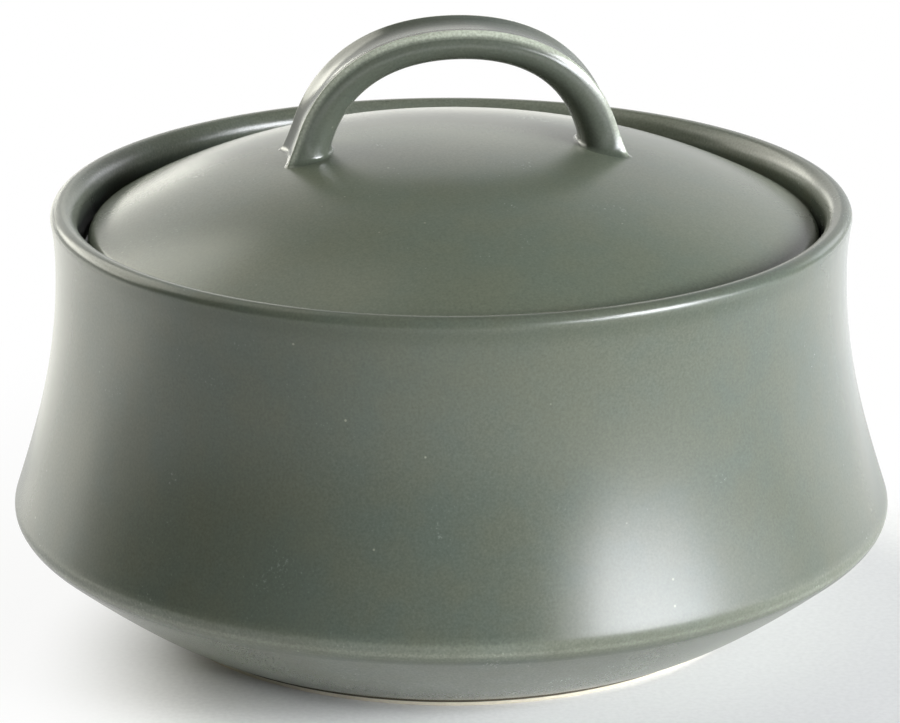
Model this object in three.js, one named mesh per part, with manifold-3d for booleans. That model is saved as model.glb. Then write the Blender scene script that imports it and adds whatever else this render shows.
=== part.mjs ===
// Stoneware sugar bowl: a waisted bowl with a gallery inside its rim, a domed lid that drops onto the
// gallery, and a strap handle luted to the lid. Millimetres, +Z up, origin at the foot's centre.
import * as THREE from 'three';
import { mergeVertices } from 'three/addons/utils/BufferGeometryUtils.js';
import Module from 'manifold-3d';

// Bowl, outside
const shoulderRadius = 60.7; // where cone and wall would meet if the shoulder were sharp
const shoulderHeight = 14.5;
const wallEase = 3.6; // length that the rounded shoulder takes of the wall
const coneEase = 3.1; // and of the cone
const rimHeight = 57.5; // top of the lip above the table
const waistRadius = 53.65; // slimmest part of the wall
const waistDrop = 8.2; // from the top of the lip down to the waist
const wallLean = THREE.MathUtils.degToRad(18.8); // lean of the wall as it leaves the shoulder
const wallPull = 11; // reach of the wall's curve from its two ends
const lipFlare = 0.55; // lip stands outside the waist
const lipWidth = 2.8;
const coneBulge = 0.7; // fullness of the cone under the shoulder
const coneBow = 0.35; // share of the cone, from the foot, at which it is fullest

// Foot
const footRadius = 40.4;
const footWidth = 4.4;
const footEdge = 0.4; // softening of the foot's two edges
const footBand = 0.8; // bare clay band below the glaze
const glazeStep = 0.6; // the glazed cone stands out over the bare foot
const recessDepth = 2.2; // hollow inside the foot ring

// Bowl, inside
const wallThickness = 3.6;
const floorThickness = 4.2;
const floorFlat = 30; // radius of the level part of the floor
const floorPull = 19; // reach of the curve from floor to wall
const insideRise = 4; // where that curve meets the wall, above the inner corner
const insidePull = 6; // reach of the inner wall's curve from its two ends
const galleryDepth = 7.4; // gallery below the top of the lip
const galleryWidth = 6.6; // from the inner face of the rim to the mouth
const galleryFillet = 0.8;
const ledgeThickness = 3; // upright face of the gallery at the mouth
const ledgeFall = 1.5; // drop of the ledge's underside for each millimetre of its reach
const ledgeEase = 0.7;

// Lid
const lidClearance = 1.8; // between the lid's edge and the rim, all round
const seatGap = 0.3; // under the lid's resting face
const lidEdge = 3.5; // from the resting face to where the dome would meet the edge
const lidEdgeRound = 2.2;
const lidBaseEase = 0.8;
const domeRise = 12.4; // crown above that meeting line
const domeFullness = 0.17; // share of the rise that falls away near the edge
const lidThickness = 4;
const hollowEase = 1.8; // curve from the hollow to the resting face

// Handle
const handleRise = 15.75; // top of the arch above the lid's crown
const rootRadius = 22.75; // outer face of each root, where it meets the dome
const rootLean = THREE.MathUtils.degToRad(2);
const rootSink = 3.5; // length swept below the dome before it is trimmed
const crownPull = 15.25; // reach of the arch's curve along its top
const legPull = 12.25; // and along each leg
const crownBreadth = 10.7;
const rootBreadth = 9.2;
const crownDepth = 4.7;
const rootDepth = 5.3;
const strapDish = 0.8; // hollow of the strap's outer face
const crownBevel = 1; // that face is drawn in this much at each edge
const rootBevel = 0.5;
const bulgeDepth = 2; // below the face, where the strap is broadest
const strapFullness = 3; // squareness of its rounded inner side
const rootFlare = 0.58; // spread of the luted roots
const rootFlareHeight = 4;
const rootGap = 0.3; // left between the trimmed roots and the dome

// Facets
const turnSteps = 56;
const curveSteps = 4;
const domeSteps = 8;
const archSteps = 44;
const faceSteps = 4;
const sideSteps = 3;
const backSteps = 12;

// Sizes that follow
const waistHeight = rimHeight - waistDrop;
const lipRadius = waistRadius + lipFlare;
const lipRound = lipWidth / 2;
const rimInner = lipRadius - lipWidth;
const galleryTop = rimHeight - galleryDepth;
const mouthRadius = rimInner - galleryWidth;
const lidRadius = rimInner - lidClearance;
const lidBase = galleryTop + seatGap;
const crownHeight = lidBase + lidEdge + domeRise;

const wasm = await Module();
wasm.setup();

// Height of the lid's outer face at radius r
function domeHeight(r) {
  const share = (r / lidRadius) ** 2;
  return crownHeight - domeRise * ((1 - domeFullness) * share + domeFullness * share ** 2);
}

function domeSlope(r) {
  const step = 0.01;
  return (domeHeight(r) - domeHeight(r + step)) / step;
}

// One closed skin: shared corners merged, collapsed triangles dropped
function weld(geometry) {
  const bare = geometry.clone();
  bare.deleteAttribute('normal');
  bare.deleteAttribute('uv');
  const merged = mergeVertices(bare, 1e-4);
  const corners = merged.index.array;
  const kept = [];
  for (let i = 0; i < corners.length; i += 3) {
    const [a, b, c] = corners.slice(i, i + 3);
    if (a !== b && b !== c && c !== a) kept.push(a, b, c);
  }
  merged.setIndex(kept);
  merged.computeVertexNormals();
  return merged;
}

function revolve(path) {
  const geometry = new THREE.LatheGeometry(path.getPoints(curveSteps), turnSteps);
  geometry.rotateX(Math.PI / 2);
  return weld(geometry);
}

function toManifold(geometry) {
  const mesh = new wasm.Mesh({
    numProp: 3,
    vertProperties: new Float32Array(geometry.attributes.position.array),
    triVerts: new Uint32Array(geometry.index.array),
  });
  return new wasm.Manifold(mesh);
}

function fromManifold(solid) {
  const mesh = solid.getMesh();
  const geometry = new THREE.BufferGeometry();
  geometry.setAttribute('position', new THREE.BufferAttribute(mesh.vertProperties, 3));
  geometry.setIndex(new THREE.BufferAttribute(mesh.triVerts, 1));
  geometry.computeVertexNormals();
  return geometry;
}

// Skin through rings of equal length, with a fan over each end
function loft(rings) {
  const count = rings[0].length;
  const points = rings.flat();
  const corners = [];
  for (let i = 0; i + 1 < rings.length; i += 1) {
    for (let j = 0; j < count; j += 1) {
      const a = i * count + j;
      const b = i * count + ((j + 1) % count);
      corners.push(a, a + count, b, b, a + count, b + count);
    }
  }
  for (const [ring, start, turn] of [[rings[0], 0, 1], [rings.at(-1), points.length - count, -1]]) {
    const middle = ring.reduce((sum, p) => sum.add(p), new THREE.Vector3()).divideScalar(count);
    const tip = points.push(middle) - 1;
    for (let j = 0; j < count; j += 1) {
      const pair = [start + j, start + ((j + 1) % count)];
      corners.push(tip, ...(turn > 0 ? pair : pair.reverse()));
    }
  }
  const geometry = new THREE.BufferGeometry().setFromPoints(points);
  geometry.setIndex(corners);
  return weld(geometry);
}

// Bowl: from the recess in the foot, up the outside, over the lip and down the inside
function bowlBody() {
  const footInner = footRadius - footWidth;
  const coneStart = new THREE.Vector2(footRadius + glazeStep, footBand + glazeStep / 2);
  const corner = new THREE.Vector2(shoulderRadius, shoulderHeight);
  const coneWay = corner.clone().sub(coneStart).normalize();
  const wallWay = new THREE.Vector2(-Math.sin(wallLean), Math.cos(wallLean));
  const bow = coneStart.clone().lerp(corner, coneBow);
  bow.add(new THREE.Vector2(coneWay.y, -coneWay.x).multiplyScalar(2 * coneBulge));
  const coneEnd = corner.clone().addScaledVector(bow.clone().sub(corner).normalize(), coneEase);
  const wallStart = corner.clone().addScaledVector(wallWay, wallEase);
  const wallBow = wallStart.clone().addScaledVector(wallWay, wallPull);

  const path = new THREE.Path();
  path.moveTo(0, recessDepth);
  path.lineTo(footInner - recessDepth, recessDepth);
  path.quadraticCurveTo(footInner, recessDepth, footInner, footEdge);
  path.lineTo(footInner + footEdge, 0);
  path.lineTo(footRadius - footEdge, 0);
  path.lineTo(footRadius, footEdge);
  path.lineTo(footRadius, footBand);
  path.lineTo(coneStart.x, coneStart.y);
  path.quadraticCurveTo(bow.x, bow.y, coneEnd.x, coneEnd.y);
  path.quadraticCurveTo(corner.x, corner.y, wallStart.x, wallStart.y);
  path.bezierCurveTo(wallBow.x, wallBow.y, waistRadius, waistHeight - wallPull, waistRadius, waistHeight);
  path.quadraticCurveTo(waistRadius, (waistHeight + rimHeight) / 2, lipRadius, rimHeight - lipRound);
  path.absarc(lipRadius - lipRound, rimHeight - lipRound, lipRound, 0, Math.PI, false);
  bowlInside(path, wallStart, wallWay);
  return revolve(path);
}

// Inside of the bowl: rim, gallery, ledge, wall and floor, ending on the axis
function bowlInside(path, wallStart, wallWay) {
  const innerWaist = waistRadius - wallThickness;
  const ledgeFoot = galleryTop - ledgeThickness;
  const ledgeReach = innerWaist - mouthRadius;
  const innerCorner = wallStart.clone();
  innerCorner.add(new THREE.Vector2(-wallWay.y, wallWay.x).multiplyScalar(wallThickness));
  const bendEnd = innerCorner.clone().addScaledVector(wallWay, insideRise);
  const wallBow = bendEnd.clone().addScaledVector(wallWay, insidePull);
  const wallTop = ledgeFoot - ledgeFall * ledgeReach;
  const floorTop = recessDepth + floorThickness;

  path.lineTo(rimInner, galleryTop + galleryFillet);
  path.quadraticCurveTo(rimInner, galleryTop, rimInner - galleryFillet, galleryTop);
  path.lineTo(mouthRadius + ledgeEase, galleryTop);
  path.quadraticCurveTo(mouthRadius, galleryTop, mouthRadius, galleryTop - ledgeEase);
  path.lineTo(mouthRadius, ledgeFoot);
  path.quadraticCurveTo(innerWaist, ledgeFoot - ledgeReach, innerWaist, wallTop);
  path.bezierCurveTo(innerWaist, wallTop - insidePull, wallBow.x, wallBow.y, bendEnd.x, bendEnd.y);
  path.bezierCurveTo(innerCorner.x, innerCorner.y, floorFlat + floorPull, floorTop, floorFlat, floorTop);
  path.lineTo(0, floorTop);
}

// Traces the dome, raised by lift, between two radii
function traceDome(path, fromRadius, toRadius, lift) {
  for (let i = 1; i <= domeSteps; i += 1) {
    const r = THREE.MathUtils.lerp(fromRadius, toRadius, i / domeSteps);
    path.lineTo(r, domeHeight(r) + lift);
  }
}

// Lid: along its hollow underside, round the edge and back over the dome
function lidCover() {
  const restInner = mouthRadius;
  const hollowRadius = restInner - hollowEase;
  const roundRadius = lidRadius - lidEdgeRound;
  const slope = Math.atan(domeSlope(lidRadius - lidEdgeRound / 2));
  const domeEnd = roundRadius + lidEdgeRound * Math.sin(slope);
  const roundHeight = domeHeight(domeEnd) - lidEdgeRound * Math.cos(slope);

  const path = new THREE.Path();
  path.moveTo(0, crownHeight - lidThickness);
  traceDome(path, 0, hollowRadius, -lidThickness);
  path.quadraticCurveTo(restInner, domeHeight(restInner) - lidThickness, restInner, lidBase);
  path.lineTo(lidRadius - lidBaseEase, lidBase);
  path.quadraticCurveTo(lidRadius, lidBase, lidRadius, lidBase + lidBaseEase);
  path.absarc(roundRadius, roundHeight, lidEdgeRound, 0, Math.PI / 2 - slope, false);
  traceDome(path, domeEnd, 0, 0);
  return revolve(path);
}

// Centre line of the strap's outer face, from the -X root over the top to the +X root
function archLine() {
  const top = new THREE.Vector2(0, crownHeight + handleRise);
  const root = new THREE.Vector2(
    rootRadius + rootSink * Math.tan(rootLean),
    domeHeight(rootRadius) - rootSink,
  );
  const leg = new THREE.Vector2(
    root.x - legPull * Math.sin(rootLean),
    root.y + legPull * Math.cos(rootLean),
  );
  const flip = (p) => new THREE.Vector2(-p.x, p.y);
  const crown = new THREE.Vector2(crownPull, top.y);
  const arch = new THREE.CurvePath();
  arch.add(new THREE.CubicBezierCurve(flip(root), flip(leg), flip(crown), top));
  arch.add(new THREE.CubicBezierCurve(top, crown, leg, root));
  return arch;
}

// Outline of the strap as [across, inward] pairs: a dished outer face, full sides and a rounded inner side
function strapOutline(breadth, depth, bevel) {
  const half = breadth / 2;
  const face = [];
  for (let i = 0; i <= faceSteps; i += 1) {
    const across = (2 * i) / faceSteps - 1;
    face.push([across * (half - bevel), strapDish * (1 - across ** 2)]);
  }
  const side = [];
  for (let i = 1; i <= sideSteps; i += 1) {
    const share = i / sideSteps;
    side.push([half - bevel * (1 - share) ** 2, bulgeDepth * share]);
  }
  const back = [];
  for (let i = 1; i < backSteps; i += 1) {
    const turn = (Math.PI * i) / backSteps;
    const across = Math.sign(Math.cos(turn)) * Math.abs(Math.cos(turn)) ** (2 / strapFullness);
    const inward = Math.sin(turn) ** (2 / strapFullness);
    back.push([across * half, THREE.MathUtils.lerp(bulgeDepth, depth, inward)]);
  }
  const otherSide = side.map(([across, inward]) => [-across, inward]).reverse();
  return [...face, ...side, ...back, ...otherSide];
}

// One ring of the strap, square to the arch: narrower and deeper down the legs, flared at the roots
function strapRing(arch, t) {
  const point = arch.getPoint(t);
  const way = arch.getTangent(t);
  const spread = (point.x / rootRadius) ** 2;
  const above = (point.y - domeHeight(point.x)) / rootFlareHeight;
  const flare = rootFlare * THREE.MathUtils.clamp(1 - above, 0, 1) ** 2;
  const breadth = THREE.MathUtils.lerp(crownBreadth, rootBreadth, spread) + 2 * flare;
  const depth = THREE.MathUtils.lerp(crownDepth, rootDepth, spread) + 2 * flare;
  const bevel = THREE.MathUtils.lerp(crownBevel, rootBevel, spread);
  return strapOutline(breadth, depth, bevel).map(([across, inward]) => new THREE.Vector3(
    point.x + way.y * (inward - flare),
    across,
    point.y - way.x * (inward - flare),
  ));
}

// Handle: the strap lofted along the arch, its roots trimmed to the dome
function lidHandle() {
  const arch = archLine();
  const rings = [];
  for (let i = 0; i <= archSteps; i += 1) rings.push(strapRing(arch, i / archSteps));
  const trim = new THREE.Path();
  trim.moveTo(0, lidBase);
  trim.lineTo(lidRadius, lidBase);
  trim.lineTo(lidRadius, domeHeight(lidRadius) + rootGap);
  traceDome(trim, lidRadius, 0, rootGap);
  return fromManifold(toManifold(loft(rings)).subtract(toManifold(revolve(trim))));
}

function glaze(colour) {
  return new THREE.MeshStandardMaterial({ color: colour, roughness: 0.5, metalness: 0 });
}

function piece(name, geometry, material) {
  const mesh = new THREE.Mesh(geometry, material);
  mesh.name = name;
  return mesh;
}

const lid = new THREE.Group();
lid.add(piece('lid_cover', lidCover(), glaze('#7b7f71')));
lid.add(piece('lid_handle', lidHandle(), glaze('#7d8274')));

const sugarBowl = new THREE.Group();
sugarBowl.add(piece('bowl_body', bowlBody(), glaze('#747a6c')));
sugarBowl.add(lid);

export default sugarBowl;
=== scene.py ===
import math
import bpy
from mathutils import Matrix, Vector


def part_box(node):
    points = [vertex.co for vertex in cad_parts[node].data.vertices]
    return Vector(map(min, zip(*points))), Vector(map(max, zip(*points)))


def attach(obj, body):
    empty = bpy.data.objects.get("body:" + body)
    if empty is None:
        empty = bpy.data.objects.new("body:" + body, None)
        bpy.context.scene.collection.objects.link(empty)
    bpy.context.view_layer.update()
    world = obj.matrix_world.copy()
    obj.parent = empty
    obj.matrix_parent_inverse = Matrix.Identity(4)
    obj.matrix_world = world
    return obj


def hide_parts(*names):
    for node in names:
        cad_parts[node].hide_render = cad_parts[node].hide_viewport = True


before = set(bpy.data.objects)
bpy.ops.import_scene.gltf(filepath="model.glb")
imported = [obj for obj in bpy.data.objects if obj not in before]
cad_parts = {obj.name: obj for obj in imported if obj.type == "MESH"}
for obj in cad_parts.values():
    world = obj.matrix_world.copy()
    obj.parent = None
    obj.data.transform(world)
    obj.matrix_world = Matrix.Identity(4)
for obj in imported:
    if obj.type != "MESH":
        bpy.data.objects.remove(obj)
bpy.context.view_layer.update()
mm = 0.001


def toLinear(red, green, blue):  # screen colour to the linear one that sockets take
    shares = [channel / 255 for channel in (red, green, blue)]
    return tuple(s / 12.92 if s <= 0.04045 else ((s + 0.055) / 1.055) ** 2.4 for s in shares) + (1.0,)


class Wire:  # a node socket that can stand in a sum
    def __init__(self, tree, socket=None):
        self.tree = tree
        self.socket = socket

    def node(self, kind, settings=None, sockets=None, out=0):  # any node: settings first, then sockets
        made = self.tree.nodes.new(kind)
        for name, value in (settings or {}).items():
            setattr(made, name, value)
        for name, value in (sockets or {}).items():
            if isinstance(value, Wire):
                self.tree.links.new(value.socket, made.inputs[name])
            else:
                made.inputs[name].default_value = value
        return Wire(self.tree, made.outputs[out])

    def maths(self, operation, first, second):
        return self.node("ShaderNodeMath", {"operation": operation}, {0: first, 1: second})

    def __add__(self, other):
        return self.maths("ADD", self, other)

    __radd__ = __add__

    def __sub__(self, other):
        return self.maths("SUBTRACT", self, other)

    def __rsub__(self, other):
        return self.maths("SUBTRACT", other, self)

    def __mul__(self, other):
        return self.maths("MULTIPLY", self, other)

    __rmul__ = __mul__

    def __truediv__(self, other):
        return self.maths("DIVIDE", self, other)

    def __rtruediv__(self, other):
        return self.maths("DIVIDE", other, self)

    def __mod__(self, other):
        return self.maths("FLOORED_MODULO", self, other)

    def between(self, low, high):  # smooth step from 0 at low to 1 at high
        ends = {"Value": self, "From Min": low, "From Max": high}
        return self.node("ShaderNodeMapRange", {"interpolation_type": "SMOOTHSTEP"}, ends)

    def fade(self, first, second):  # this value as the factor between two colours
        return self.node("ShaderNodeMix", {"data_type": "RGBA"}, {0: self, 6: first, 7: second}, 2)

    def scaled(self, factor):  # a colour times a number
        return self.node("ShaderNodeVectorMath", {"operation": "SCALE"}, {0: self, "Scale": factor})


# Glaze: satin sage stoneware, paler where it runs thin over edges, bare cream clay where it was wiped off;
# painted shade under the lip and in the dark line above the foot, and a painted reflection of the floor down
# the cone
glaze = {
    "sage": toLinear(85, 90, 78),
    "teal": toLinear(81, 89, 80),
    "brown": toLinear(87, 90, 75),
    # pale colour of thin glaze over edges, also used down the cone as a painted reflection of the floor
    "thinAndReflection": toLinear(146, 150, 134),
    # pooled glaze colour, also used as painted shade in a band under the lip
    "pooledAndShade": toLinear(66, 73, 60),
    "speck": toLinear(168, 170, 150),
    # dark line above the bare foot: the burnt glaze edge, and painted shadow in the groove under the glaze
    "burntAndShade": toLinear(74, 64, 48),
    "clay": toLinear(216, 208, 188),
    "grain": 0.34 * mm,
    "cloud": 9 * mm,
    "patch": 34 * mm,
    "speckSpacing": 3.2 * mm,
    "peel": 1.3 * mm,
    "roughness": 0.26,
    "clayRoughness": 0.85,
    "bumpDepth": 0.006 * mm,
    "brownShare": 0.4,
    "pooledAndShadeShare": 0.8,
    "speckShare": 0.4,
    "speckEdge": (0.03, 0.07),
    "speckPick": (0.8, 0.9),
}
lidGlaze = glaze | {
    "sage": toLinear(96, 102, 88),
    "teal": toLinear(93, 101, 89),
    "brown": toLinear(99, 102, 85),
}
handleGlaze = glaze | {
    "sage": toLinear(80, 85, 75),
    "teal": toLinear(77, 84, 76),
    "brown": toLinear(82, 85, 72),
    "thinAndReflection": toLinear(190, 196, 178),
    "roughness": 0.19,
}


def glazeMaterial(name, look):
    material = bpy.data.materials.new(name)
    material.use_nodes = True
    tree = material.node_tree
    shader = tree.nodes["Principled BSDF"]
    start = Wire(tree)
    place = start.node("ShaderNodeTexCoord", out="Object")

    def noise(size, detail):
        return start.node("ShaderNodeTexNoise", None,
                          {"Vector": place, "Scale": 1 / size, "Detail": detail, "Roughness": 0.55})

    def painted(name):  # a share painted on the piece's points
        return start.node("ShaderNodeAttribute", {"attribute_name": name}, None, "Fac")

    grain = noise(look["grain"], 2)
    cloud = noise(look["cloud"], 4)
    patch = noise(look["patch"], 3)
    peel = noise(look["peel"], 2)
    cells = {"Vector": place, "Scale": 1 / look["speckSpacing"]}
    cellDistance = start.node("ShaderNodeTexVoronoi", None, cells, "Distance")
    cellColour = start.node("ShaderNodeTexVoronoi", None, cells, "Color")
    cellPick = start.node("ShaderNodeSeparateColor", None, {0: cellColour})
    speck = (1 - cellDistance.between(*look["speckEdge"])) * cellPick.between(*look["speckPick"])
    thinAndReflection = painted("thinAndReflection") * (0.35 + 0.9 * cloud) * (0.6 + 0.8 * grain)
    pooledAndShade = painted("pooledAndShade")
    bare = (painted("bare") + 0.5 * (grain - 0.5) + 0.3 * (peel - 0.5)).between(0.35, 0.65)
    burntAndShade = painted("burntAndShade")

    colour = cloud.between(0.35, 0.7).fade(look["sage"], look["teal"])
    colour = (look["brownShare"] * patch.between(0.45, 0.7)).fade(colour, look["brown"])
    # glaze pooled in hollows, and painted shade under the lip
    colour = (look["pooledAndShadeShare"] * pooledAndShade).fade(colour, look["pooledAndShade"])
    # thin glaze paler over edges, and the painted floor reflection down the cone
    colour = thinAndReflection.fade(colour, look["thinAndReflection"])
    colour = (look["speckShare"] * speck).fade(colour, look["speck"])
    # burnt glaze edge and painted shadow above the bare foot
    colour = burntAndShade.fade(colour, look["burntAndShade"])
    colour = colour.scaled(0.74 + 0.52 * grain)
    darkClay = tuple(0.9 * c for c in look["clay"][:3]) + (1.0,)
    clayColour = grain.between(0.2, 0.8).fade(look["clay"], darkClay)
    colour = bare.fade(colour, clayColour)

    rough = look["roughness"] + 0.04 * (grain - 0.5) + 0.04 * (cloud - 0.5)
    unglazed = bare + burntAndShade * (1 - bare)
    rough = rough + unglazed * (look["clayRoughness"] - look["roughness"])
    height = 0.3 * grain + 0.8 * peel
    bump = start.node("ShaderNodeBump", None,
                      {"Strength": 1.0, "Distance": look["bumpDepth"], "Height": height}, "Normal")
    tree.links.new(colour.socket, shader.inputs["Base Color"])
    tree.links.new(rough.socket, shader.inputs["Roughness"])
    tree.links.new(bump.socket, shader.inputs["Normal"])
    shader.inputs["IOR"].default_value = 1.5
    return material


print("glaze ready")


# Profiles are (radius, height) points in millimetres, with the clay on the left of the way they run
def bezier(steps, *corners):  # a curve of any degree, without its first point
    made = []
    for i in range(1, steps + 1):
        row = [Vector(corner) for corner in corners]
        while len(row) > 1:
            row = [a.lerp(b, i / steps) for a, b in zip(row, row[1:])]
        made.append(row[0])
    return made


def arc(steps, centre, radius, start, end):  # angles in radians, without the first point
    turns = [start + (end - start) * i / steps for i in range(1, steps + 1)]
    return [Vector((centre[0] + radius * math.cos(t), centre[1] + radius * math.sin(t))) for t in turns]


# Wear from the bend of the line: thin over outer edges, pooled in hollows
def edgeWear(points, reach=1.2, full=0.75, least=0.15, most=0.25):
    bends, places, walked = [], [], 0.0
    for before, here, after in zip(points, points[1:], points[2:]):
        a, b = here - before, after - here
        walked += a.length
        bends.append(math.atan2(a.x * b.y - a.y * b.x, a.dot(b)))
        places.append(walked)
    wear = [0.0]
    for place in places:
        near = sum(bend for bend, other in zip(bends, places) if abs(other - place) < reach / 2)
        wear.append(near / reach / full)
    wear.append(0.0)
    thinAndReflection = [min(most, max(0.0, w - least)) for w in wear]
    pooledAndShade = [min(1.0, max(0.0, -w)) for w in wear]
    return thinAndReflection, pooledAndShade


paints = ("bare", "burntAndShade", "thinAndReflection", "pooledAndShade")


def paint(mesh, shares):
    for name in paints:
        mesh.attributes.new(name, "FLOAT", "POINT").data.foreach_set("value", shares[name])


# Geometry Nodes: turns a profile about Z, with a slight waver of the radius
def revolveTree():
    tree = bpy.data.node_groups.new("revolvedClay", "GeometryNodeTree")
    kinds = {"Profile": "Geometry", "Turns": "Int", "Waver": "Float", "Waver Size": "Float",
             "Seed": "Int", "Glaze": "Material"}
    for name, kind in kinds.items():
        tree.interface.new_socket(name, in_out="INPUT", socket_type="NodeSocket" + kind)
    tree.interface.new_socket("Clay", in_out="OUTPUT", socket_type="NodeSocketGeometry")
    start = Wire(tree)
    source = tree.nodes.new("NodeGroupInput")
    given = {name: Wire(tree, source.outputs[name]) for name in kinds}
    count = start.node("GeometryNodeAttributeDomainSize", {"component": "MESH"},
                       {"Geometry": given["Profile"]})
    grid = start.node("GeometryNodeMeshGrid", None,
                      {"Vertices X": given["Turns"] + 1, "Vertices Y": count})
    index = start.node("GeometryNodeInputIndex")
    along = index % count
    angle = start.maths("FLOOR", index / count, 0.0) / given["Turns"] * math.tau

    def sampled(value, kind):
        return start.node("GeometryNodeSampleIndex", {"data_type": kind, "domain": "POINT"},
                          {"Geometry": given["Profile"], "Value": value, "Index": along})

    point = sampled(start.node("GeometryNodeInputPosition"), "FLOAT_VECTOR")
    radius = start.node("ShaderNodeSeparateXYZ", None, {0: point}, "X")
    height = start.node("ShaderNodeSeparateXYZ", None, {0: point}, "Z")

    def turned(length):
        return start.node("ShaderNodeCombineXYZ", None, {
            "X": length * start.maths("COSINE", angle, 0.0),
            "Y": length * start.maths("SINE", angle, 0.0),
            "Z": height})

    waver = start.node("ShaderNodeTexNoise", {"noise_dimensions": "4D"}, {
        "Vector": turned(radius), "W": given["Seed"], "Scale": 1 / given["Waver Size"], "Detail": 1.0})
    place = turned(radius * (1 + given["Waver"] * (waver - 0.5)))
    skin = start.node("GeometryNodeSetPosition", None, {"Geometry": grid, "Position": place})
    for name in paints:
        share = start.node("GeometryNodeInputNamedAttribute", {"data_type": "FLOAT"}, {"Name": name})
        skin = start.node("GeometryNodeStoreNamedAttribute", {"data_type": "FLOAT", "domain": "POINT"},
                          {"Geometry": skin, "Name": name, "Value": sampled(share, "FLOAT")})
    skin = start.node("GeometryNodeMergeByDistance", None, {"Geometry": skin, "Distance": 0.002 * mm})
    skin = start.node("GeometryNodeSetShadeSmooth", None, {"Geometry": skin})
    skin = start.node("GeometryNodeRealizeInstances", None, {"Geometry": skin})
    skin = start.node("GeometryNodeSetMaterial", None, {"Geometry": skin, "Material": given["Glaze"]})
    end = tree.nodes.new("NodeGroupOutput")
    tree.links.new(skin.socket, end.inputs["Clay"])
    return tree


revolved = revolveTree()


def newPiece(name, mesh):
    piece = bpy.data.objects.new(name, mesh)
    bpy.context.scene.collection.objects.link(piece)
    return piece


def revolve(name, points, shares, sizes, skin):
    line = bpy.data.meshes.new(name + "Profile")
    edges = [(i, i + 1) for i in range(len(points) - 1)]
    line.from_pydata([(p.x * mm, 0.0, p.y * mm) for p in points], edges, [])
    paint(line, shares)
    piece = newPiece(name, line)
    modifier = piece.modifiers.new("revolve", "NODES")
    modifier.node_group = revolved
    values = {"Turns": sizes["turns"], "Waver": sizes["waver"], "Waver Size": sizes["waverSize"] * mm,
              "Seed": sizes["seed"], "Glaze": skin}
    for item in revolved.interface.items_tree:
        if item.in_out == "INPUT" and item.name in values:
            modifier[item.identifier] = values[item.name]
    depsgraph = bpy.context.evaluated_depsgraph_get()
    solid = bpy.data.meshes.new_from_object(piece.evaluated_get(depsgraph), depsgraph=depsgraph)
    piece.modifiers.clear()
    piece.data = solid
    solid.name = name
    return piece


# Bowl: waisted wall over a low shoulder, a cone below it and a bare foot; a gallery inside the rim
bowl = {
    "rimHeight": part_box("bowl_body")[1].z / mm,
    "shoulder": (60.58, 14.53), "wallEase": 2, "coneEase": 2.6,
    "waistRadius": 53.7, "waistDrop": 8.2, "wallLean": 18.1, "wallPull": 12.1,
    "lipFlare": 0.55, "lipRound": 1.4, "lipCurl": 3, "coneBulge": 0.7, "coneBow": 0.245,
    "lipInside": (2.2, 2.8),  # the inner side rounds off over this width and depth
    "footRadius": 40.6, "footWidth": 4.6, "footEdge": 0.3, "bareBand": 0.52, "footBand": 0.8,
    "glazeStep": 0.5,
    "recessDepth": 2.2, "wallThickness": 3.6, "floorThickness": 4.2, "floorFlat": 30, "floorPull": 19,
    "insideRise": 4, "insidePull": 6, "galleryDepth": 7.4, "galleryWidth": 5.8, "galleryFillet": 0.8,
    "ledgeThickness": 3, "ledgeFall": 1.5, "ledgeEase": 0.7,
    "turns": 256, "waver": 0.0022, "waverSize": 26, "seed": 4,
    # painted shade in a band under the lip, laid on the pooled share
    "lipShade": {"drop": 2.3, "reach": 2, "share": 0.65},
    "crestLine": {"rise": 0.2, "reach": 0.8, "share": 0.6, "within": 3},
    # the cone's pale share is a painted reflection of the floor, laid on the thin share
    "coneReflection": 0.56, "coneReflectionFall": 0.03, "lipThin": 0.1, "lipThinDrop": 8,
    # the dark line over the foot is partly burnt edge, partly painted shadow
    "burntAndShadeShare": 0.8, "seatInset": 0.3, "seatMargin": 1.8,
}


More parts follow.
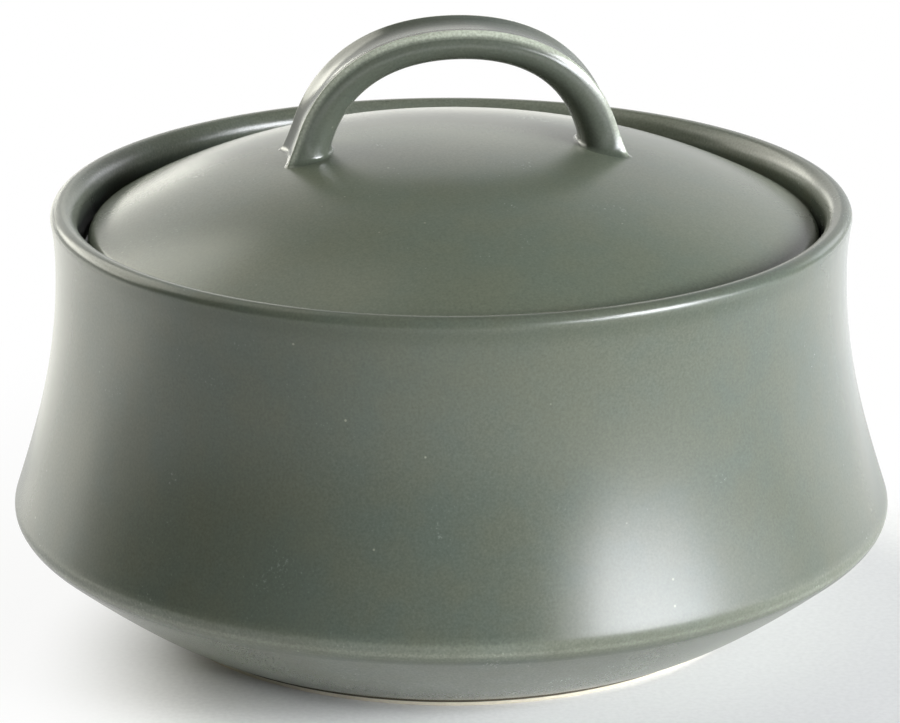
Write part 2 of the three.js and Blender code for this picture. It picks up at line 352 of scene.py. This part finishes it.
def bowlProfile(s):
    lean = math.radians(s["wallLean"])
    wallWay = Vector((-math.sin(lean), math.cos(lean)))
    corner = Vector(s["shoulder"])
    coneStart = Vector((s["footRadius"] + s["glazeStep"], s["footBand"] + s["glazeStep"] / 2))
    coneWay = (corner - coneStart).normalized()
    bow = coneStart.lerp(corner, s["coneBow"]) + Vector((coneWay.y, -coneWay.x)) * 2 * s["coneBulge"]
    coneEnd = corner + (bow - corner).normalized() * s["coneEase"]
    wallStart = corner + wallWay * s["wallEase"]
    waist = Vector((s["waistRadius"], s["rimHeight"] - s["waistDrop"]))
    lip = Vector((s["waistRadius"] + s["lipFlare"], s["rimHeight"] - s["lipRound"]))
    crest = lip.x - s["lipRound"]
    lipReach, lipDrop = s["lipInside"]
    rimInner = crest - lipReach
    galleryTop = s["rimHeight"] - s["galleryDepth"]
    mouth = rimInner - s["galleryWidth"]
    innerWaist = s["waistRadius"] - s["wallThickness"]
    ledgeFoot = galleryTop - s["ledgeThickness"]
    ledgeReach = innerWaist - mouth
    wallTop = Vector((innerWaist, ledgeFoot - s["ledgeFall"] * ledgeReach))
    innerCorner = wallStart + Vector((-wallWay.y, wallWay.x)) * s["wallThickness"]
    bendEnd = innerCorner + wallWay * s["insideRise"]
    floorTop = s["recessDepth"] + s["floorThickness"]
    footInner = s["footRadius"] - s["footWidth"]
    edge, bareBand, band = s["footEdge"], s["bareBand"], s["footBand"]
    fillet, ease = s["galleryFillet"], s["ledgeEase"]

    line = [Vector((0, s["recessDepth"]))]
    line += bezier(14, line[-1], (footInner - s["recessDepth"], s["recessDepth"]))
    line += bezier(8, line[-1], (footInner, s["recessDepth"]), (footInner, edge))
    line += bezier(4, line[-1], (footInner, 0), (footInner + edge, 0))
    line += bezier(6, line[-1], (s["footRadius"] - edge, 0))
    line += bezier(4, line[-1], (s["footRadius"], 0), (s["footRadius"], edge))
    line += bezier(4, line[-1], (s["footRadius"], bareBand))
    line += bezier(4, line[-1], (s["footRadius"], band))
    line += bezier(8, line[-1], (s["footRadius"] + 0.1, coneStart.y), coneStart)
    coneFoot = len(line)
    line += bezier(22, line[-1], bow, coneEnd)
    coneTop = len(line)
    line += bezier(14, line[-1], corner, wallStart)
    wallPull = wallStart + wallWay * s["wallPull"]
    line += bezier(44, line[-1], wallPull, waist - Vector((0, s["wallPull"])), waist)
    line += bezier(10, line[-1], (waist.x, lip.y - s["lipCurl"]), lip)
    line += arc(10, (crest, lip.y), s["lipRound"], 0, math.pi / 2)
    lipTop = len(line)
    turns = [math.pi / 2 * i / 16 for i in range(1, 17)]
    lipEnd = s["rimHeight"] - lipDrop
    line += [Vector((crest - lipReach * math.sin(t), lipEnd + lipDrop * math.cos(t))) for t in turns]
    line += bezier(8, line[-1], (rimInner, galleryTop + fillet))
    line += bezier(6, line[-1], (rimInner, galleryTop), (rimInner - fillet, galleryTop))
    line += bezier(8, line[-1], (mouth + ease, galleryTop))
    line += bezier(6, line[-1], (mouth, galleryTop), (mouth, galleryTop - ease))
    line += bezier(4, line[-1], (mouth, ledgeFoot))
    line += bezier(12, line[-1], (innerWaist, ledgeFoot - ledgeReach), wallTop)
    pull = s["insidePull"]
    line += bezier(18, line[-1], wallTop - Vector((0, pull)), bendEnd + wallWay * pull, bendEnd)
    floorBend = (s["floorFlat"] + s["floorPull"], floorTop)
    line += bezier(24, line[-1], innerCorner, floorBend, (s["floorFlat"], floorTop))
    line += bezier(12, line[-1], (0, floorTop))

    thinAndReflection, pooledAndShade = edgeWear(line)
    foot = [p.y < bareBand + 0.01 and footInner - 0.1 < p.x < s["footRadius"] + 0.05 for p in line]
    seatStart, seatEnd = mouth + s["seatInset"], rimInner - s["seatMargin"]
    seat = [abs(p.y - galleryTop) < 0.05 and seatStart < p.x < seatEnd for p in line]
    # painted shadow and burnt glaze edge: the dark line between the bare band and the cone
    burntAndShade = [bareBand + 0.01 < p.y < coneStart.y and abs(p.x - s["footRadius"]) < 0.2 for p in line]
    shade, crestLine = s["lipShade"], s["crestLine"]
    for i, p in enumerate(line[:lipTop]):
        drop = s["rimHeight"] - p.y
        near = max(0.0, 1 - abs(drop - shade["drop"]) / shade["reach"])  # painted shade: darker under the lip
        pooledAndShade[i] = max(pooledAndShade[i], shade["share"] * near)
        if drop <= s["lipThinDrop"]:
            thinAndReflection[i] *= s["lipThin"]
        if p.x > corner.x - crestLine["within"]:  # pale along the shoulder's crest
            near = max(0.0, 1 - abs(p.y - corner.y - crestLine["rise"]) / crestLine["reach"])
            thinAndReflection[i] = max(thinAndReflection[i], crestLine["share"] * near)
        if coneFoot <= i < coneTop:  # painted reflection of the bright floor: paler down the cone
            thinAndReflection[i] = max(thinAndReflection[i], s["coneReflection"] - s["coneReflectionFall"] * p.y)
    shares = {
        "bare": [float(f or g) for f, g in zip(foot, seat)],
        "burntAndShade": [s["burntAndShadeShare"] * b for b in burntAndShade],
        "thinAndReflection": thinAndReflection,
        "pooledAndShade": pooledAndShade,
    }
    return line, shares


bowlPiece = revolve("sugarBowl", *bowlProfile(bowl), bowl, glazeMaterial("bowlGlaze", glaze))
print("bowl ready", len(bowlPiece.data.polygons), "faces")


# Lid: shallow dome, hollow below, with a rounded edge and a bare resting face
lid = {
    "radius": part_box("lid_cover")[1].x / mm,
    "base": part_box("lid_cover")[0].z / mm,
    "crown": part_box("lid_cover")[1].z / mm,
    "restWidth": 4.8, "edge": 3.5, "edgeRound": 2.2, "baseEase": 0.8, "fullness": 0.17,
    "thickness": 4, "hollowEase": 1.8,
    "turns": 224, "waver": 0.0, "waverSize": 30, "seed": 7,
    "shift": 0.35,  # set down a little off centre
}


def domeHeight(r):
    share = (r / lid["radius"]) ** 2
    rise = lid["crown"] - lid["base"] - lid["edge"]
    return lid["crown"] - rise * ((1 - lid["fullness"]) * share + lid["fullness"] * share ** 2)


def domeLine(steps, fromRadius, toRadius, lift):
    radii = [fromRadius + (toRadius - fromRadius) * i / steps for i in range(1, steps + 1)]
    return [Vector((r, domeHeight(r) + lift)) for r in radii]


def lidProfile(s):
    restInner = s["radius"] - s["restWidth"]
    bend = s["radius"] - s["edgeRound"] / 2
    slope = math.atan(domeHeight(bend - 0.5) - domeHeight(bend + 0.5))
    roundRadius = s["radius"] - s["edgeRound"]
    domeEnd = roundRadius + s["edgeRound"] * math.sin(slope)
    roundCentre = (roundRadius, domeHeight(domeEnd) - s["edgeRound"] * math.cos(slope))
    line = [Vector((0, s["crown"] - s["thickness"]))]
    line += domeLine(24, 0, restInner - s["hollowEase"], -s["thickness"])
    line += bezier(10, line[-1], (restInner, domeHeight(restInner) - s["thickness"]), (restInner, s["base"]))
    line += bezier(8, line[-1], (s["radius"] - s["baseEase"], s["base"]))
    line += bezier(6, line[-1], (s["radius"], s["base"]), (s["radius"], s["base"] + s["baseEase"]))
    line += bezier(3, line[-1], (s["radius"], roundCentre[1]))
    line += arc(14, roundCentre, s["edgeRound"], 0, math.pi / 2 - slope)
    line += domeLine(40, domeEnd, 0, 0.0)
    thinAndReflection, pooledAndShade = edgeWear(line)
    rest = [abs(p.y - s["base"]) < 0.05 and p.x < s["radius"] - s["baseEase"] / 2 for p in line]
    shares = {"bare": [float(r) for r in rest], "burntAndShade": [0.0] * len(line), "thinAndReflection": thinAndReflection, "pooledAndShade": pooledAndShade}
    return line, shares


lidPiece = revolve("domedLid", *lidProfile(lid), lid, glazeMaterial("lidGlaze", lidGlaze))
lidPiece.data.transform(Matrix.Translation((lid["shift"] * mm, 0, 0)))
print("lid ready", len(lidPiece.data.polygons), "faces")


# Handle: a strap arch, dished outside, full at the sides and rounded inside, its roots faired into the dome
handle = {
    "top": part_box("lid_handle")[1].z / mm,
    "rootRadius": 22.75, "rootLean": 2, "rootSink": 3.5, "crownPull": 15.25, "legPull": 12.25,
    "crownBreadth": 10.7, "rootBreadth": 9.2, "crownDepth": 4.7, "rootDepth": 5.3,
    "dish": 0.8, "crownBevel": 1, "rootBevel": 0.5, "bulgeDepth": 2, "fullness": 2.3, "edge": 0.25,
    "flare": 0.58, "flareHeight": 4, "fillet": 0.8, "sink": 0.05, "wearFade": 0.5,
    "shift": 0.66, "lean": 0.011,  # set on a little askew
    "paleBand": {"inward": 0.55, "reach": 0.4, "share": 0.9},
    "rootPooled": 0.6, "tuckIn": 0.6, "tuckDown": 0.8,
    "faceSteps": 10, "cornerSteps": 4, "bulgeSteps": 6, "backSteps": 26,
    "fineSteps": 240, "legSteps": 64, "filletSteps": 9,
}


def archPoint(s, t):  # t runs from 0 at the crown to 1 at the sunk root, on the +X side
    lean = math.radians(s["rootLean"])
    rootOut = s["rootRadius"] + s["rootSink"] * math.tan(lean)
    root = Vector((rootOut, domeHeight(s["rootRadius"]) - s["rootSink"]))
    leg = root + Vector((-math.sin(lean), math.cos(lean))) * s["legPull"]
    top = Vector((0, s["top"]))
    crown = Vector((s["crownPull"], s["top"]))
    u = 1 - t
    point = top * u ** 3 + crown * 3 * u * u * t + leg * 3 * u * t * t + root * t ** 3
    way = (crown - top) * u * u + (leg - crown) * 2 * u * t + (root - leg) * t * t
    return point, way.normalized()


def strapSection(s, breadth, depth, bevel):  # (across, inward, edge) all round, from one face edge
    half, edge, bulge, band = breadth / 2, s["edge"], s["bulgeDepth"], s["paleBand"]
    face = half - bevel
    flat = face - edge

    def side(inward):  # half breadth below the face
        return half - bevel * (1 - inward / bulge) ** 2

    section = []
    for i in range(s["faceSteps"] + 1):
        across = flat * (2 * i / s["faceSteps"] - 1)
        section.append((across, s["dish"] * (1 - (across / face) ** 2), 0.0))
    right = []
    for point in bezier(s["cornerSteps"], section[-1][:2], (face, 0.0), (side(edge), edge)):
        right.append((point.x, point.y, 1.0))
    for i in range(1, s["bulgeSteps"] + 1):
        inward = edge + (bulge - edge) * i / s["bulgeSteps"]
        near = max(0.0, 1 - abs(inward - band["inward"]) / band["reach"])
        right.append((side(inward), inward, band["share"] * near))
    section += right
    for i in range(1, s["backSteps"]):
        turn = math.pi * i / s["backSteps"]
        cosine = math.cos(turn)
        across = math.copysign(abs(cosine) ** (2 / s["fullness"]), cosine) * half
        section.append((across, bulge + (depth - bulge) * math.sin(turn) ** (2 / s["fullness"]), 0.0))
    return section + [(-across, inward, edge) for across, inward, edge in reversed(right)]


def strapRing(s, t):  # the section at t, as points with their edge share
    point, way = archPoint(s, t)
    spread = (point.x / s["rootRadius"]) ** 2
    above = (point.y - domeHeight(point.x)) / s["flareHeight"]
    flare = s["flare"] * min(1.0, max(0.0, 1 - above)) ** 2
    breadth = s["crownBreadth"] + (s["rootBreadth"] - s["crownBreadth"]) * spread + 2 * flare
    depth = s["crownDepth"] + (s["rootDepth"] - s["crownDepth"]) * spread + 2 * flare
    bevel = s["crownBevel"] + (s["rootBevel"] - s["crownBevel"]) * spread
    ring = []
    for across, inward, edge in strapSection(s, breadth, depth, bevel):
        sunk = inward - flare
        ring.append((Vector((point.x + way.y * sunk, across, point.y - way.x * sunk)), edge))
    return ring


def clearance(point):  # height over the dome
    return point.z - domeHeight(math.hypot(point.x, point.y))


def crossing(line, height):  # place along a line, counted in points, where it comes down to that height
    for i in range(1, len(line)):
        above, below = clearance(line[i - 1]) - height, clearance(line[i]) - height
        if below <= 0:
            return i - 1 + above / (above - below)


def pointAt(line, place):
    i = min(int(place), len(line) - 2)
    return line[i].lerp(line[i + 1], place - i)


def legLine(s, lines, edges, j):  # line j from the crown to the toe of its fillet on the dome
    line = lines[j]
    end, foot = crossing(line, s["fillet"]), crossing(line, 0.0)
    made = []
    for i in range(s["legSteps"] + 1):
        share = i / s["legSteps"]
        made.append((pointAt(line, end * share), edges[j] * (1 - s["wearFade"] * share), 0.0))
    base = pointAt(line, foot)
    ahead = pointAt(lines[(j + 1) % len(lines)], foot) - pointAt(lines[j - 1], foot)
    out = (base - made[-1][0]).cross(ahead)
    r = math.hypot(base.x, base.y)
    slope = (domeHeight(r + 0.01) - domeHeight(r - 0.01)) / 0.02
    domeNormal = Vector((-slope * base.x / r, -slope * base.y / r, 1)).normalized()
    out = (out - domeNormal * out.dot(domeNormal)).normalized()
    toe = base + out * s["fillet"]
    toe.z = domeHeight(math.hypot(toe.x, toe.y)) - s["sink"]
    for i, point in enumerate(bezier(s["filletSteps"], made[-1][0], base, toe), 1):
        share = i / s["filletSteps"]
        made.append((point, edges[j] * (1 - s["wearFade"]) * (1 - share), math.sin(math.pi * share)))
    made.append((toe - out * s["fillet"] * s["tuckIn"] - Vector((0, 0, s["tuckDown"])), 0.0, 0.0))
    return made


def handleMesh(s):
    rings = [strapRing(s, i / s["fineSteps"]) for i in range(s["fineSteps"] + 1)]
    count = len(rings[0])
    lines = [[ring[j][0] for ring in rings] for j in range(count)]
    edges = [edge for point, edge in rings[0]]
    right = [legLine(s, lines, edges, j) for j in range(count)]
    left = [[(Vector((-p.x, p.y, p.z)), edge, fillet) for p, edge, fillet in leg] for leg in right]
    whole = [a[:0:-1] + b for a, b in zip(left, right)]
    rows = len(whole[0])
    points = [whole[j][i] for i in range(rows) for j in range(count)]
    faces = []
    for i in range(rows - 1):
        for j in range(count):
            k = (j + 1) % count
            faces.append((i * count + j, (i + 1) * count + j, (i + 1) * count + k, i * count + k))
    faces.append(tuple(range(count)))
    faces.append(tuple((rows - 1) * count + j for j in reversed(range(count))))
    mesh = bpy.data.meshes.new("strapHandle")
    mesh.from_pydata([p * mm for p, edge, fillet in points], [], faces)
    none = [0.0] * len(points)
    paint(mesh, {"bare": none, "burntAndShade": none, "thinAndReflection": [edge for p, edge, fillet in points],
                 "pooledAndShade": [s["rootPooled"] * fillet for p, edge, fillet in points]})
    mesh.shade_smooth()
    mesh.materials.append(glazeMaterial("handleGlaze", handleGlaze))
    return mesh


handlePiece = newPiece("strapHandle", handleMesh(handle))
skew = Matrix.Identity(4)
skew[0][2] = handle["lean"]
skew[0][3] = (handle["shift"] - handle["lean"] * handle["top"]) * mm
handlePiece.data.transform(skew)
print("handle ready", len(handlePiece.data.polygons), "faces")

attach(bowlPiece, "bowl")
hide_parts("bowl_body")
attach(lidPiece, "lid")
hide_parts("lid_cover")
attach(handlePiece, "lid")
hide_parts("lid_handle")


# Camera: long lens, a little above the rim
view = {
    "azimuth": -6.87, "elevation": 18.687, "distance": 640 * mm, "aimHeight": 28 * mm,
    "pitch": 18.156, "yaw": 0.0148, "lens": 186.16,
}


def around(azimuth, elevation, distance):  # a place round the bowl, azimuth from the camera to its right
    a, e = math.radians(azimuth + view["azimuth"]), math.radians(elevation)
    way = Vector((math.sin(a) * math.cos(e), -math.cos(a) * math.cos(e), math.sin(e)))
    return Vector((0, 0, view["aimHeight"])) + way * distance


def makeCamera():
    data = bpy.data.cameras.new("camera")
    data.sensor_width = 36
    data.lens = view["lens"]
    data.clip_start, data.clip_end = 0.01, 50
    camera = newPiece("camera", data)
    camera.location = around(0, view["elevation"], view["distance"])
    turn = view["azimuth"] + view["yaw"]
    camera.rotation_euler = (math.radians(90 - view["pitch"]), 0, math.radians(turn))
    bpy.context.scene.camera = camera


makeCamera()


# Lights: azimuth and elevation in degrees, sizes in metres, glow is the brightness of the panel's face
cool, warm = (0.98, 1.0, 1.05), (1.0, 0.99, 0.87)
lamps = {
    "softbox": {"at": (53.5, 14), "distance": 1.5, "size": (0.92, 0.21), "glow": 26.5, "tint": cool},
    "softboxTop": {"at": (61, 24), "distance": 1.5, "size": (0.64, 0.315), "glow": 32, "tint": cool},
    "softboxNear": {"at": (33, 14), "distance": 1.5, "size": (0.315, 0.21), "glow": 6.8, "tint": cool},
    "softboxFar": {"at": (80, 14), "distance": 1.5, "size": (0.315, 0.21), "glow": 8.9, "tint": cool},
    "lowSpill": {"at": (52, 6), "distance": 1.5, "size": (0.64, 0.21), "glow": 7.3, "tint": cool},
    "lowFar": {"at": (82, 6), "distance": 1.5, "size": (0.97, 0.21), "glow": 3.6, "tint": cool},
    "leftBack": {"at": (-135, 16), "distance": 1.5, "size": (0.64, 0.37), "glow": 6, "tint": warm},
    "leftSide": {"at": (-110, 16), "distance": 1.5, "size": (0.64, 0.37), "glow": 4.2, "tint": warm},
    "leftHigh": {"at": (-123, 36), "distance": 1.5, "size": (1.35, 0.64), "glow": 3.3, "tint": warm},
    "leftTop": {"at": (-120, 62), "distance": 1.5, "size": (1.09, 0.64), "glow": 0.96, "tint": warm},
    "rightBack": {"at": (135, 16), "distance": 1.5, "size": (0.64, 0.37), "glow": 2.1, "tint": cool},
    "backPanel": {"at": (198, 18), "distance": 1.5, "size": (1.2, 0.6), "glow": 0.42, "tint": warm},
    "backLeft": {"at": (-163, 6.5), "distance": 1.5, "size": (0.3, 0.12), "glow": 4, "tint": warm},
    "leftCard": {"at": (-130, -2.5), "distance": 0.25, "size": (0.25, 0.03), "glow": 0.9, "tint": warm},
    "backCard": {"at": (195, 0), "distance": 0.4, "size": (0.3, 0.05), "glow": 1.2, "tint": warm},
    "rightCard": {"at": (120, -2.5), "distance": 0.25, "size": (0.25, 0.03), "glow": 0.9, "tint": cool},
    "leftFloor": {"at": (-135, 0), "distance": 0.21, "size": (0.3, 0.2), "glow": 0.85, "tint": warm,
                  "lies": 3 * mm},
    "sideFloor": {"at": (-95, 0), "distance": 0.145, "size": (0.1, 0.11), "glow": 0.6, "tint": warm,
                  "lies": 3 * mm},
    "rightFloor": {"at": (115, 0), "distance": 0.21, "size": (0.3, 0.2), "glow": 0.6, "tint": cool,
                   "lies": 3 * mm},
}


def makeLamp(name, lamp):
    data = bpy.data.lights.new(name, "AREA")
    data.shape = "RECTANGLE"
    data.size, data.size_y = lamp["size"]
    data.color = lamp["tint"]
    data.energy = lamp["glow"] * math.pi * data.size * data.size_y
    light = newPiece(name, data)
    light.location = around(*lamp["at"], lamp["distance"])
    aim = Vector((0, 0, view["aimHeight"])) - light.location
    light.rotation_euler = aim.to_track_quat("-Z", "Y").to_euler()
    if "lies" in lamp:  # flat over the floor, facing up
        light.location.z = lamp["lies"]
        light.rotation_euler = (math.pi, 0, math.radians(lamp["at"][0] + view["azimuth"]))
    light.visible_camera = False


for name, lamp in lamps.items():
    makeLamp(name, lamp)


# Room: white low behind the bowl, dark above and on the camera's side; the camera itself sees white
room = {
    "white": (1, 1, 1, 1), "lit": (0.95, 0.95, 0.95, 1), "dim": (0, 0, 0, 1), "strength": 1.0,
    "back": (0.2, 0.75), "high": (0.3, 0.8),
}


def makeRoom():
    world = bpy.data.worlds.new("room")
    bpy.context.scene.world = world
    world.use_nodes = True
    tree = world.node_tree
    start = Wire(tree)
    way = start.node("ShaderNodeTexCoord", out="Generated")
    depth = start.node("ShaderNodeSeparateXYZ", None, {0: way}, "Y")
    height = start.node("ShaderNodeSeparateXYZ", None, {0: way}, "Z")
    seen = start.node("ShaderNodeLightPath", out="Is Camera Ray")
    mirrored = start.node("ShaderNodeLightPath", out="Is Glossy Ray")
    through = start.node("ShaderNodeLightPath", out="Is Transmission Ray")
    behind = depth.between(*room["back"]) * (1 - height.between(*room["high"]))
    wall = behind.fade(room["dim"], room["lit"])
    colour = (seen + (mirrored + through) * behind).fade(wall, room["white"])
    background = tree.nodes["Background"]
    tree.links.new(colour.socket, background.inputs["Color"])
    background.inputs["Strength"].default_value = room["strength"]


makeRoom()

# Floor: pale sweep that keeps the shadow at the foot and turns white away from the bowl
floorLook = {
    "pale": toLinear(246, 246, 244), "size": 6.0, "white": 1.0, "roughness": 0.9,
    "grain": 0.7 * mm, "grainShade": 0.93,
    "centre": (22 * mm, -28 * mm, 0), "whiteFrom": 56 * mm, "whiteTo": 84 * mm,
    "nearWhite": 0.88, "farFrom": 70 * mm, "farTo": 170 * mm,
    "frontFrom": -100 * mm, "frontTo": -55 * mm,
}


def makeFloor(look):
    half = look["size"] / 2
    mesh = bpy.data.meshes.new("floor")
    corners = [(-half, -half, 0), (half, -half, 0), (half, half, 0), (-half, half, 0)]
    mesh.from_pydata(corners, [], [(0, 1, 2, 3)])
    material = bpy.data.materials.new("paleFloor")
    material.use_nodes = True
    tree = material.node_tree
    shader = tree.nodes["Principled BSDF"]
    shader.inputs["Roughness"].default_value = look["roughness"]
    start = Wire(tree)
    place = start.node("ShaderNodeTexCoord", out="Object")
    paper = start.node("ShaderNodeTexNoise", None,
                       {"Vector": place, "Scale": 1 / look["grain"], "Detail": 2.0})
    darker = tuple(look["grainShade"] * c for c in look["pale"])
    shade = paper.between(0.2, 0.8).fade(darker, look["pale"])
    tree.links.new(shade.socket, shader.inputs["Base Color"])
    distance = start.node("ShaderNodeVectorMath", {"operation": "DISTANCE"},
                          {0: place, 1: look["centre"]}, "Value")
    seen = start.node("ShaderNodeLightPath", out="Is Camera Ray")
    mirrored = start.node("ShaderNodeLightPath", out="Is Glossy Ray")
    through = start.node("ShaderNodeLightPath", out="Is Transmission Ray")
    depth = start.node("ShaderNodeSeparateXYZ", None, {0: place}, "Y")
    behind = depth.between(look["frontFrom"], look["frontTo"])
    near = distance.between(look["whiteFrom"], look["whiteTo"])
    far = distance.between(look["farFrom"], look["farTo"])
    lift = (look["nearWhite"] * near + (1 - look["nearWhite"]) * far) * behind * (seen + mirrored + through)
    white = start.node("ShaderNodeEmission", None, {"Color": (1, 1, 1, 1), "Strength": look["white"]})
    mixed = start.node("ShaderNodeMixShader", None, {0: lift, 1: Wire(tree, shader.outputs[0]), 2: white})
    tree.links.new(mixed.socket, tree.nodes["Material Output"].inputs["Surface"])
    mesh.materials.append(material)
    floor = newPiece("floor", mesh)


makeFloor(floorLook)
bpy.context.scene.view_settings.view_transform = "Standard"
print("stage ready")
